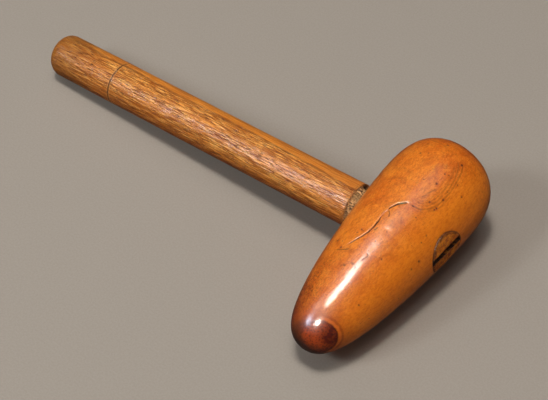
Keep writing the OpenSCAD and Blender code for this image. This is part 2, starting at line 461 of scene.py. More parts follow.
def make_handle():
    cols = 224
    a = np.linspace(0, 2 * math.pi, cols, endpoint=False)
    rows = []

    def ring(x, r, kind=0):
        rows.append((np.full(cols, float(x)) if np.ndim(x) == 0 else x,
                     np.full(cols, float(r)) if np.ndim(r) == 0 else r, kind))

    # butt: flat middle, rounded edge
    for r in (0.4, 1.2, 2.2, 3.3, 4.4, 5.4, 6.2):
        ring(-BUTT + 0.05 - 0.05 * (r / 6.8) ** 2, r)
    for t in np.linspace(0, 90, 19)[1:]:
        t = math.radians(t)
        ring(-(BUTT - ROUND + ROUND * math.cos(t)), GRIP_R - ROUND + ROUND * math.sin(t))
    xs = spread_steps(-(BUTT - ROUND), -SHOULDER - .2,
                      lambda x: 0.16 if abs(x + GROOVE) < 1.3 else (0.5 if abs(x + GROOVE) < 2.5
                      else (0.3 if x > -SHOULDER - 2.4 else 1.05)))
    for x in xs[1:]:
        g = abs(x + GROOVE)
        r = GRIP_R
        r -= 0.40 * max(0.0, 1 - g / 0.62) ** 0.8
        r += 0.035 * math.exp(-((g - 0.95) / .35) ** 2)
        ring(x, r)
    # shoulder: a torn edge, then the whittled neck going down into the eye
    pts = np.stack([0 * a, 13 * np.cos(a), 13 * np.sin(a)], -1)
    tear = 0.35 * field(pts, 3.4, 21) + 0.22 * field(pts, 1.3, 22)
    for k, (dx, r) in enumerate(((0.0, 13.42), (0.14, 13.18), (0.30, 12.9), (0.46, 12.66), (0.7, 12.5))):
        ring(-SHOULDER + dx + tear * (1 - 0.1 * k), r, 1)
    for x in np.arange(-SHOULDER + 1.15, -22.0, 0.32):
        ring(x + tear * max(0, 1 - (x + SHOULDER) / 2.4), 12.48 - 0.07 * (x + SHOULDER - 1), 1)
    # tenon through the head, spread towards its end
    for x in (-19, -14, -9, -4, 1, 6, 11, 16, 20, 23):
        hz, hy = eye_half(x, -0.02)
        ring(x, (hz, hy), 2)
    hz, hy = eye_half(30.3, -0.02)
    ye, ze = hy * np.cos(a), hz * np.sin(a)
    top = head_x(ye, ze)
    for down in (3.2, 2.2, 1.5, 1.0):
        rows.append((top - down + 0.70, None, (hy, hz, 1.0)))
    for t in np.linspace(0, 1, 7)[1:]:
        # rounded rim
        q = 1 - 0.034 * (1 - math.cos(t * math.pi / 2))
        rows.append(("cap", q, 0.05 + 0.37 * math.sin(t * math.pi / 2)))
    for q in np.linspace(0.945, 0.035, 29):
        rows.append(("cap", q, 0.42))
    verts = [[-BUTT + 0.05, 0, 0]]
    for row in rows:
        if isinstance(row[0], str):
            q, stand = row[1], row[2]
            yy, zz = ye * q, ze * q
            # the part below the kerf was trimmed flush, the one above stands a little
            stand = stand * (0.12 + 0.88 * smooth(-1.5, 3.0, zz))
            xx = head_x(yy, zz) + stand - 0.12
            verts += np.stack([xx, yy, zz], -1).tolist()
            continue
        x, r, kind = row
        if isinstance(kind, tuple):
            verts += np.stack([x, kind[0] * np.cos(a), kind[1] * np.sin(a)], -1).tolist()
        elif isinstance(r, tuple):
            verts += np.stack([x, r[1] * np.cos(a), r[0] * np.sin(a)], -1).tolist()
        else:
            verts += np.stack([x, r * np.cos(a), r * np.sin(a)], -1).tolist()
    verts.append([float(head_x(0, 0)) + 0.20, 0, 0])
    v = np.array(verts)
    # relief: hand-worn wobble, dents, a rough neck and a rough trimmed end
    x = v[:, 0]
    rr = np.maximum(np.hypot(v[:, 1], v[:, 2]), 1e-6)
    out = np.stack([0 * x, v[:, 1] / rr, v[:, 2] / rr], -1)
    shaft = smooth(-262, -255, x) * smooth(-SHOULDER + .2, -SHOULDER - .6, x)
    d = (-0.06 + 0.05 * field(v * [.35, 1, 1], 9.0, 5) + 0.03 * field(v * [.12, 1, 1], 2.2, 6)) * shaft
    for _ in range(30):
        cx, ca = rng.uniform(-255, -36), rng.uniform(0, 2 * math.pi)
        pr, depth = rng.uniform(1.2, 4.0), rng.uniform(.06, .2)
        c = np.array([cx, GRIP_R * math.cos(ca), GRIP_R * math.sin(ca)])
        q = np.linalg.norm((v - c) * [.6, 1, 1], axis=1)
        d -= depth * np.exp(-(q / pr) ** 2) * shaft
    neck = smooth(-SHOULDER - .2, -SHOULDER + .3, x) * (1 - smooth(-24, -22, x))
    rough = 0.40 * field(v, 2.3, 7, 3) + 0.26 * field(v * [.5, 1.6, 1.6], 1.5, 8) - 0.16
    ang = np.degrees(np.arctan2(v[:, 2], v[:, 1]))
    hole = np.exp(-((ang - 44) / 14) ** 2)
    d += neck * (rough - 2.4 * hole)
    v = v + out * d[:, None]
    ends = x > 24
    capm = ends & (eye_gap(v, -0.02) < -0.4)
    v[capm, 0] += 0.12 * field(v[capm], 3.4, 9) + 0.06 * field(v[capm], 1.2, 10, 1) - 0.02
    low = place(v)[:, 2]
    lift = np.clip(0.00002 - low, 0, None) * 1000
    v = v + np.array(TURN.T @ np.array([0, 0, 1.0]))[None] * lift[:, None]
    ob = new_object("handle_shaft", v, revolve_faces(len(rows), cols, True, True))
    # the kerf: a saw cut with slightly wandering walls, spread at its mouth
    n = 60
    ky = np.linspace(-16, 16, n)
    kx = np.linspace(-8, 40, 30)
    KX, KY = np.meshgrid(kx, ky, indexing="ij")
    half = 0.45 + 1.05 * (KX + 8) / 38.2 + 0.62 * smooth(20, 30, KX) * (1 - .45 * smooth(2, -12, KY))
    g = np.stack([KX.ravel(), KY.ravel(), 0 * KX.ravel()], -1)
    w1 = (0.10 + 0.12 * smooth(18, 28, g[:, 0])) * field(g, 4.0, 12) + (.05 + .13 * smooth(22, 28, g[:, 0])) * field(g, 1.7, 13, 1)
    w2 = (0.10 + 0.12 * smooth(18, 28, g[:, 0])) * field(g, 4.0, 14) + (.05 + .13 * smooth(22, 28, g[:, 0])) * field(g, 1.7, 15, 1)
    upper = g + np.stack([0 * w1, 0 * w1, 2.4 + half.ravel() + w1], -1)
    lower = g + np.stack([0 * w1, 0 * w1, 2.4 - half.ravel() + w2], -1)
    faces = []
    m = len(g)
    R, C = len(kx), n
    for i in range(R - 1):
        for j in range(C - 1):
            q = (i * C + j, i * C + j + 1, (i + 1) * C + j + 1, (i + 1) * C + j)
            faces.append(q)
            faces.append(tuple(m + t for t in reversed(q)))
    rim = ([(0, j) for j in range(C)] + [(i, C - 1) for i in range(1, R)]
           + [(R - 1, j) for j in range(C - 2, -1, -1)] + [(i, 0) for i in range(R - 2, 0, -1)])
    ids = [i * C + j for i, j in rim]
    for k in range(len(ids)):
        b = (k + 1) % len(ids)
        faces.append((ids[k], ids[b], m + ids[b], m + ids[k]))
    cutter = new_object("kerf_cutter", np.vstack([upper, lower]), faces)
    for o in (ob, cutter):
        fix_normals(o)
    apply_boolean(ob, cutter)
    return ob


def handle_attributes(ob):
    p = mesh_points(ob)
    x = p[:, 0]
    r = np.hypot(p[:, 1], p[:, 2])
    neck = smooth(-SHOULDER - .3, -SHOULDER + .25, x) * (1 - smooth(-20, -14, x))
    stain = smooth(-SHOULDER - 3.2, -SHOULDER - .1, x) * (x < -20)
    ang = np.degrees(np.arctan2(p[:, 2], p[:, 1]))
    # where painted shade goes into the recess under the shoulder's edge
    hole = np.exp(-((ang - 44) / 15) ** 2) * smooth(-SHOULDER - .5, -SHOULDER + .1, x) * (x < -20)
    g = np.exp(-((x + GROOVE) / .42) ** 2)
    # the groove's lips, which get a painted highlight
    edge = np.exp(-((np.abs(x + GROOVE) - .95) / .35) ** 2)
    end = smooth(24, 26, x)
    gap = -eye_gap(p, -0.02)
    # the crevice round the tenon's end, where shade and some grime are painted
    rim = end * np.exp(-(np.clip(gap, 0, None) / .42) ** 2)
    kerf = np.abs(p[:, 2] - 2.4) - (0.45 + 1.05 * (x + 8) / 38.2 + 0.5 * smooth(20, 30, x) * (1 - .45 * smooth(2, -12, p[:, 1])))
    # where shade is painted into the kerf's mouth
    kerf_shade = (x > -9) * smooth(.40, .10, kerf) * (r < 13.6)
    face = end * smooth(.3, .9, gap)
    lit = end * np.exp(-((gap - .75) / .5) ** 2)
    for n, val in (("neck", neck), ("stain", stain), ("groove", g), ("groove_lip_highlight", edge),
                   ("rim", rim), ("hole", hole), ("kerf_shade", kerf_shade), ("cap", face), ("cap_edge_glint_and_shade", lit)):
        set_float(ob, n, np.clip(val, 0, 1))


# ---------------------------------------------------------------- wedge
def make_wedge():
    # thickness follows the kerf; the outer end is broken off rough below the
    # tenon's face
    nx, ny, nz = 46, 40, 7
    x = np.linspace(-2.0, 28.4, nx)
    u = np.linspace(-1, 1, ny)
    t = np.linspace(-1, 1, nz)

    def pt(X, U, Tt):
        half = 0.45 + 1.05 * (X + 8) / 38.2 - 0.10
        zz = 2.4 + Tt * half
        yy = U * math.sqrt(max(11.85 ** 2 - zz * zz, 1))
        return (X, yy, zz)

    verts, index = [], {}

    def vid(i, j, k):
        key = (i, j, k)
        if key not in index:
            index[key] = len(verts)
            verts.append(pt(x[i], u[j], t[k]))
        return index[key]

    faces = []
    for i in range(nx - 1):
        for j in range(ny - 1):
            for k, flip in ((0, 1), (nz - 1, 0)):
                q = [vid(i, j, k), vid(i + 1, j, k), vid(i + 1, j + 1, k), vid(i, j + 1, k)]
                faces.append(q[::-1] if flip else q)
        for k in range(nz - 1):
            for j, flip in ((0, 0), (ny - 1, 1)):
                q = [vid(i, j, k), vid(i + 1, j, k), vid(i + 1, j, k + 1), vid(i, j, k + 1)]
                faces.append(q[::-1] if flip else q)
    for j in range(ny - 1):
        for k in range(nz - 1):
            for i, flip in ((0, 1), (nx - 1, 0)):
                q = [vid(i, j, k), vid(i, j + 1, k), vid(i, j + 1, k + 1), vid(i, j, k + 1)]
                faces.append(q[::-1] if flip else q)
    v = np.array(verts)
    e = smooth(24.5, 28.4, v[:, 0])
    v[:, 0] += e * (0.55 * field(v, 3.2, 31, 3) - 0.5)
    v[:, 2] += 0.03 * field(v, 2.0, 32)
    v[:, 1] *= 1 - 0.02 * e
    ob = new_object("wedge_blade", v, faces)
    fix_normals(ob)
    return ob


# ---------------------------------------------------------------- materials
def srgb(r, g, b):
    def f(c):
        c /= 255.0
        return c / 12.92 if c <= 0.04045 else ((c + 0.055) / 1.055) ** 2.4
    return (f(r), f(g), f(b), 1.0)


class Nodes:
    """Short calls for building a node tree."""

    def __init__(self, name):
        self.mat = bpy.data.materials.new(name)
        self.mat.use_nodes = True
        self.t = self.mat.node_tree
        self.t.nodes.clear()
        self.out = self.t.nodes.new("ShaderNodeOutputMaterial")
        self.bsdf = self.t.nodes.new("ShaderNodeBsdfPrincipled")
        self.t.links.new(self.bsdf.outputs[0], self.out.inputs[0])

    def put(self, node, key, value):
        s = node.inputs[key]
        if isinstance(value, bpy.types.NodeSocket):
            self.t.links.new(value, s)
        else:
            s.default_value = value

    def own(self, scale=(1, 1, 1)):
        """Coordinates in the mallet's own axes, in millimetres, times scale."""
        tc = self.t.nodes.new("ShaderNodeTexCoord")
        a = self.t.nodes.new("ShaderNodeMapping")
        a.vector_type = "POINT"
        m = Matrix(TURN.T.tolist())
        a.inputs["Scale"].default_value = (1000, 1000, 1000)
        a.inputs["Rotation"].default_value = m.to_euler("XYZ")
        a.inputs["Location"].default_value = Vector((-(TURN.T @ LIFT)).tolist())
        self.t.links.new(tc.outputs["Object"], a.inputs["Vector"])
        if tuple(scale) == (1, 1, 1):
            return a.outputs[0]
        b = self.t.nodes.new("ShaderNodeMapping")
        b.inputs["Scale"].default_value = scale
        self.t.links.new(a.outputs[0], b.inputs["Vector"])
        return b.outputs[0]

    def noise(self, vec, scale, detail=2.0, rough=0.5, distort=0.0, color=False):
        n = self.t.nodes.new("ShaderNodeTexNoise")
        self.put(n, "Vector", vec)
        n.inputs["Scale"].default_value = scale
        n.inputs["Detail"].default_value = detail
        n.inputs["Roughness"].default_value = rough
        n.inputs["Distortion"].default_value = distort
        return n.outputs["Color"] if color else n.outputs["Fac"]

    def voronoi(self, vec, scale, out="Distance", feature="F1", rand=1.0):
        n = self.t.nodes.new("ShaderNodeTexVoronoi")
        n.feature = feature
        self.put(n, "Vector", vec)
        n.inputs["Scale"].default_value = scale
        n.inputs["Randomness"].default_value = rand
        return n.outputs[out]

    def math(self, op, a, b=None, c=None, clamp=False):
        n = self.t.nodes.new("ShaderNodeMath")
        n.operation = op
        n.use_clamp = clamp
        self.put(n, 0, a)
        if b is not None:
            self.put(n, 1, b)
        if c is not None:
            self.put(n, 2, c)
        return n.outputs[0]

    def ramp(self, fac, a, b, lo=0.0, hi=1.0, kind="SMOOTHSTEP"):
        """Map fac from a..b onto lo..hi."""
        n = self.t.nodes.new("ShaderNodeMapRange")
        n.interpolation_type = kind
        self.put(n, "Value", fac)
        n.inputs["From Min"].default_value = a
        n.inputs["From Max"].default_value = b
        n.inputs["To Min"].default_value = lo
        n.inputs["To Max"].default_value = hi
        return n.outputs[0]

    def mix(self, fac, a, b, blend="MIX"):
        n = self.t.nodes.new("ShaderNodeMix")
        n.data_type = "RGBA"
        n.blend_type = blend
        n.clamp_factor = True
        self.put(n, 0, fac)
        self.put(n, 6, a)
        self.put(n, 7, b)
        return n.outputs[2]

    def attr(self, name):
        n = self.t.nodes.new("ShaderNodeAttribute")
        n.attribute_type = "GEOMETRY"
        n.attribute_name = name
        return n.outputs["Fac"]

    def split(self, vec):
        n = self.t.nodes.new("ShaderNodeSeparateXYZ")
        self.put(n, 0, vec)
        return n.outputs

    def join(self, x, y, z):
        n = self.t.nodes.new("ShaderNodeCombineXYZ")
        self.put(n, 0, x)
        self.put(n, 1, y)
        self.put(n, 2, z)
        return n.outputs[0]

    def far(self, vec, point):
        n = self.t.nodes.new("ShaderNodeVectorMath")
        n.operation = "DISTANCE"
        self.put(n, 0, vec)
        n.inputs[1].default_value = point
        return n.outputs["Value"]

    def bump(self, height, dist, strength=1.0, normal=None):
        n = self.t.nodes.new("ShaderNodeBump")
        n.inputs["Strength"].default_value = strength
        n.inputs["Distance"].default_value = dist
        self.put(n, "Height", height)
        if normal is not None:
            self.put(n, "Normal", normal)
        return n.outputs[0]


def head_material():
    N = Nodes("boxwood_oiled")
    P = N.own()
    xyz = N.split(P)
    X, Y, Z = xyz[0], xyz[1], xyz[2]
    # slow mottling, finer clouding, and grain drawn out along the head
    big = N.noise(N.own((1, .55, 1)), .050, 3, .55, .6)
    mid = N.noise(N.own((1, .6, 1)), .20, 4, .6, .5)
    fine = N.noise(N.own((1, .42, 1)), .85, 4, .68, .3)
    grit = N.noise(N.own((1, .7, 1)), 1.25, 3, .7)
    col = N.mix(N.ramp(big, .36, .64), srgb(240, 134, 32), srgb(222, 108, 14))
    col = N.mix(N.ramp(mid, .44, .68, 0, .52), col, srgb(192, 80, 6))
    col = N.mix(N.ramp(mid, .48, .28, 0, .32), col, srgb(248, 160, 52))
    col = N.mix(N.ramp(fine, .50, .66, 0, .44), col, srgb(168, 72, 8))
    col = N.mix(N.ramp(fine, .46, .32, 0, .26), col, srgb(250, 166, 62))
    col = N.mix(N.ramp(grit, .55, .68, 0, .42), col, srgb(146, 62, 8))
    col = N.mix(N.ramp(grit, .44, .32, 0, .30), col, srgb(250, 166, 70))
    # growth rings of the billet, whose heart leaves by the nose
    wob = N.noise(P, .045, 2, .5)
    dx = N.math("ADD", X, N.math("MULTIPLY_ADD", Y, .055, -3.0))
    dz = N.math("ADD", Z, N.math("MULTIPLY_ADD", Y, -.035, 2.0))
    rad = N.math("SQRT", N.math("ADD", N.math("MULTIPLY", dx, dx), N.math("MULTIPLY", dz, dz)))
    rad = N.math("ADD", rad, N.math("MULTIPLY", wob, 9.0))
    ring = N.math("FRACT", N.math("MULTIPLY", rad, 1 / 1.9))
    line = N.math("MULTIPLY", N.ramp(ring, .55, .9), N.ramp(ring, 1.0, .93))
    where = N.ramp(N.noise(P, .075, 2), .42, .58)
    line = N.math("MULTIPLY", line, N.math("MULTIPLY", where, N.ramp(N.noise(P, .5, 2), .4, .6, .25, .75)))
    col = N.mix(N.math("MULTIPLY", line, .55), col, srgb(156, 66, 14))
    # the loop round the big end, drawn by the ring that opened
    q = N.attr("loop_d")
    w = N.attr("loop_w")
    wq = N.math("MULTIPLY_ADD", N.noise(P, .42, 2), 2.0, -1.0)
    qq = N.math("ADD", q, wq)
    slow = N.math("MULTIPLY_ADD", N.noise(P, .11, 2), 2.6, -1.3)
    wave = N.math("COSINE", N.math("MULTIPLY", N.math("ADD", qq, slow), 2 * math.pi / 1.65))
    band = N.math("MULTIPLY", N.math("MULTIPLY", N.ramp(q, -3.2, -.6), N.ramp(q, 8.0, 2.5)), N.attr("loop_m"))
    loop = N.math("MULTIPLY", N.ramp(wave, .42, .95), band)
    loop = N.math("MULTIPLY", loop, N.math("MULTIPLY", N.ramp(w, .04, .10), N.ramp(w, .98, .72)))
    loop = N.math("MULTIPLY", loop, N.ramp(N.noise(P, .45, 3), .40, .60, .10, .8))
    loop = N.math("MULTIPLY", loop, .78)
    broken = N.ramp(N.noise(P, .36, 3, .6), .34, .50, .48, 1)
    loop = N.math("MAXIMUM", loop, N.math("MULTIPLY", N.attr("lines"), broken))
    col = N.mix(N.math("MULTIPLY", loop, .92), col, srgb(106, 42, 6))
    col = N.mix(N.math("MULTIPLY", N.math("MULTIPLY", N.ramp(wave, -.3, -.95), band), .16), col, srgb(240, 150, 62))
    swirl = N.noise(N.own((1, .40, 1)), .62, 3, .62, 1.6)
    col = N.mix(N.ramp(swirl, .54, .64, 0, .26), col, srgb(172, 76, 8))
    col = N.mix(N.ramp(swirl, .46, .36, 0, .20), col, srgb(252, 168, 70))
    # painted light: paler along the lower flank that the tenon comes out of, standing in for fill light there
    around = N.math("DIVIDE", X, N.math("SQRT", N.math("ADD", N.math("MULTIPLY", X, X), N.math("MULTIPLY", Z, Z))))
    painted_fill_light = N.math("MULTIPLY", N.ramp(around, .30, .90), N.ramp(Z, -16, -5))
    painted_fill_light = N.math("MULTIPLY", painted_fill_light, N.ramp(Y, 22, 52, 1, .35))
    col = N.mix(N.math("MULTIPLY", painted_fill_light, .68), col, N.mix(N.ramp(fine, .38, .64), srgb(255, 144, 28), srgb(242, 124, 18)))
    # dark pores: a few large ones, and many small in patches
    dots = dot_field(N, P, .24, .30, .62, .13)
    dots2 = dot_field(N, P, .62, .30, .45, .17)
    dots2 = N.math("MULTIPLY", dots2, N.ramp(N.noise(P, .09, 2), .42, .60, .15, 1))
    spots = spot_field(N, P, SPOTS)
    halo = spot_field(N, P, SPOTS, 2.3)
    col = N.mix(N.math("MULTIPLY", halo, .28), col, srgb(176, 66, 6))
    col = N.mix(N.math("MULTIPLY", spots, .88), col, srgb(82, 32, 8))
    col = N.mix(N.math("MULTIPLY", dots, .62), col, srgb(104, 44, 8))
    col = N.mix(N.math("MULTIPLY", dots2, .62), col, srgb(124, 54, 10))
    # redder and darker towards the nose, most on the side of the handle
    far = N.math("ADD", Y, N.math("MULTIPLY_ADD", N.noise(P, .11, 3), 26.0, -13.0))
    redden = N.ramp(far, -38, -76)
    side = N.ramp(N.math("MULTIPLY", X, -1), -4, 15, .05, 1)
    blotch = N.ramp(N.noise(P, .42, 3, .6), .36, .58, .38, 1)
    col = N.mix(N.math("MULTIPLY", N.math("MULTIPLY", redden, side), N.math("MULTIPLY", blotch, .85)), col, srgb(164, 58, 6))
    fleck = N.math("MULTIPLY", N.math("MULTIPLY", redden, side), N.ramp(N.noise(P, .95, 3, .7), .50, .62))
    col = N.mix(N.math("MULTIPLY", fleck, .90), col, srgb(62, 26, 10))
    # darker still at the nose on the side of the handle
    nose_side_dark = N.math("MULTIPLY", N.ramp(far, -62, -84), N.ramp(N.math("MULTIPLY", X, -1), 3, 13))
    col = N.mix(N.math("MULTIPLY", nose_side_dark, .88), col, srgb(70, 42, 22))
    # the dark end grain of the nose, ringed round the heart
    cx = N.math("SUBTRACT", X, 3.0)
    cy = N.math("SUBTRACT", Y, -92.0)
    cz = N.math("SUBTRACT", Z, 3.5)
    nd = N.math("SQRT", N.math("ADD", N.math("ADD", N.math("MULTIPLY", cx, cx), N.math("MULTIPLY", cy, cy)),
                               N.math("MULTIPLY", cz, cz)))
    nd = N.math("ADD", nd, N.math("MULTIPLY_ADD", N.noise(P, .16, 2), 2.4, -1.2))
    burn = N.ramp(nd, 30, 15)
    col = N.mix(N.math("MULTIPLY", burn, .50), col, srgb(158, 58, 8))
    crisp = N.ramp(X, 3, 9)
    n2 = N.math("ADD", N.far(P, (8.5, -88.0, 6.5)), N.math("MULTIPLY_ADD", N.noise(P, .35, 2), 1.2, -.6))
    nose = N.math("MAXIMUM", N.ramp(n2, 11.1, 10.4), N.ramp(nd, 17.5, 9.0, 0, .92))
    halo = N.math("MULTIPLY", N.math("MULTIPLY", N.ramp(n2, 10.9, 11.4), N.ramp(n2, 12.6, 11.9)), crisp)
    col = N.mix(N.math("MULTIPLY", halo, .50), col, srgb(226, 112, 34))
    edge = N.math("MULTIPLY", N.math("MULTIPLY", N.ramp(n2, 12.3, 12.9), N.ramp(n2, 14.4, 13.4)), crisp)
    col = N.mix(N.math("MULTIPLY", edge, .50), col, srgb(150, 54, 8))
    deep = N.mix(N.ramp(N.far(P, (12.5, -82.0, 7.0)), 3.5, 8.5), srgb(94, 22, 6), srgb(176, 66, 12))
    deep = N.mix(N.ramp(X, 3, -5, 0, .80), deep, srgb(92, 56, 30))
    deep = N.mix(N.ramp(N.noise(P, .24, 3, .6), .46, .62, 0, .50), deep, srgb(168, 66, 10))
    deep = N.mix(N.ramp(N.noise(P, .9, 3, .6), .46, .64, 0, .60), deep, srgb(52, 22, 9))
    deep = N.mix(N.math("MULTIPLY", N.ramp(n2, 8.6, 10.4), .50), deep, srgb(72, 22, 8))
    # painted shade: the nose cap darker towards its underside
    underside_shade = N.math("ADD", Z, N.math("MULTIPLY_ADD", N.noise(P, .2, 2), 6, N.math("MULTIPLY_ADD", X, .45, -3.0)))
    deep = N.mix(N.ramp(underside_shade, 8, -2, 0, .92), deep, srgb(42, 32, 20))
    col = N.mix(nose, col, deep)
    # the shake, the checks, and painted shade with some grime at the eye's edge
    col = N.mix(N.math("MULTIPLY", N.attr("lip"), .36), col, srgb(250, 172, 88))
    patchy = N.ramp(N.noise(P, .38, 3, .65), .38, .60, .12, .50)
    col = N.mix(N.math("MULTIPLY", N.attr("bright"), patchy), col, srgb(246, 206, 154))
    col = N.mix(N.math("MULTIPLY", N.attr("check"), .85), col, srgb(74, 36, 12))
    col = N.mix(N.math("MULTIPLY", N.attr("crack"), N.ramp(N.noise(P, .55, 3, .65), .34, .52, .72, .98)), col, srgb(44, 26, 12))
    col = N.mix(N.math("MULTIPLY", N.attr("filler"), .85), col, srgb(124, 118, 84))
    # painted shade with some grime: the crevice round the eye's mouth and the eye's hidden inner wall darkened
    rim_shade_patches = N.ramp(N.noise(P, .22, 2), .40, .60, .45, .92)
    col = N.mix(N.math("MULTIPLY", N.attr("rim"), rim_shade_patches), col, srgb(70, 26, 8))
    N.put(N.bsdf, "Base Color", col)
    rough = N.ramp(N.noise(P, .8, 4, .65), .3, .7, .34, .48)
    rough = N.math("ADD", rough, N.math("MULTIPLY", N.math("ADD", N.attr("crack"), N.attr("rim")), .35))
    N.put(N.bsdf, "Roughness", rough)
    h = N.noise(N.own((1, .6, 1)), .75, 4, .6)
    h2 = N.noise(N.own((1, .4, 1)), 2.6, 3, .6)
    nb = N.bump(h, .00016, .7)
    nb = N.bump(h2, .00004, .8, nb)
    nb = N.bump(N.math("SUBTRACT", 1, N.math("MAXIMUM", N.math("MAXIMUM", dots, dots2), spots)), .00014, .8, nb)
    nb = N.bump(N.math("SUBTRACT", 1, loop), .00005, .7, nb)
    N.put(N.bsdf, "Normal", nb)
    scuff = N.math("MULTIPLY", N.noise(N.own((1, .8, 1)), 1.5, 3, .7), N.ramp(Y, -58, -76, .25, 1))
    cb = N.bump(h, .00007, .7)
    cb = N.bump(h2, .000012, .8, cb)
    cb = N.bump(scuff, .000035, .8, cb)
    cb = N.bump(N.math("SUBTRACT", 1, N.math("MAXIMUM", N.math("MAXIMUM", dots, dots2), loop)), .00005, .8, cb)
    N.put(N.bsdf, "Coat Normal", cb)
    dull = N.math("MAXIMUM", N.math("MAXIMUM", N.attr("crack"), N.attr("rim")), N.math("MAXIMUM", N.attr("check"), spots))
    N.put(N.bsdf, "Coat Weight", N.math("MULTIPLY", N.math("SUBTRACT", 1, dull), N.ramp(N.noise(P, .30, 3), .3, .7, .98, .72)))
    N.bsdf.inputs["Specular IOR Level"].default_value = .26
    N.bsdf.inputs["Coat Roughness"].default_value = .145
    N.bsdf.inputs["Coat IOR"].default_value = 1.5
    return N.mat


def spot_field(N, vec, spots, grow=1.0):
    """Ragged dark spots at given places on the head."""
    ragged = N.math("MULTIPLY_ADD", N.noise(vec, 1.3, 2), .9, -.45)
    out = None
    for y, a, r in spots:
        n = N.t.nodes.new("ShaderNodeVectorMath")
        n.operation = "DISTANCE"
        N.put(n, 0, vec)
        n.inputs[1].default_value = head_point(y, math.radians(a)).tolist()
        d = N.math("ADD", n.outputs["Value"], ragged)
        one = N.ramp(d, r * grow * 1.35, r * grow * .55)
        out = one if out is None else N.math("MAXIMUM", out, one)
    return out


def dot_field(N, vec, scale, share, big, size):
    """Scattered round specks: share of the cells that hold one, and their size."""
    v = N.t.nodes.new("ShaderNodeTexVoronoi")
    N.put(v, "Vector", vec)
    v.inputs["Scale"].default_value = scale
    c = N.split(v.outputs["Color"])
    radius = N.math("MULTIPLY_ADD", c[1], size * big, size * (1 - big))
    edge = N.math("DIVIDE", v.outputs["Distance"], radius)
    return N.math("MULTIPLY", N.ramp(edge, 1.15, .65), N.ramp(c[0], share + .03, share))


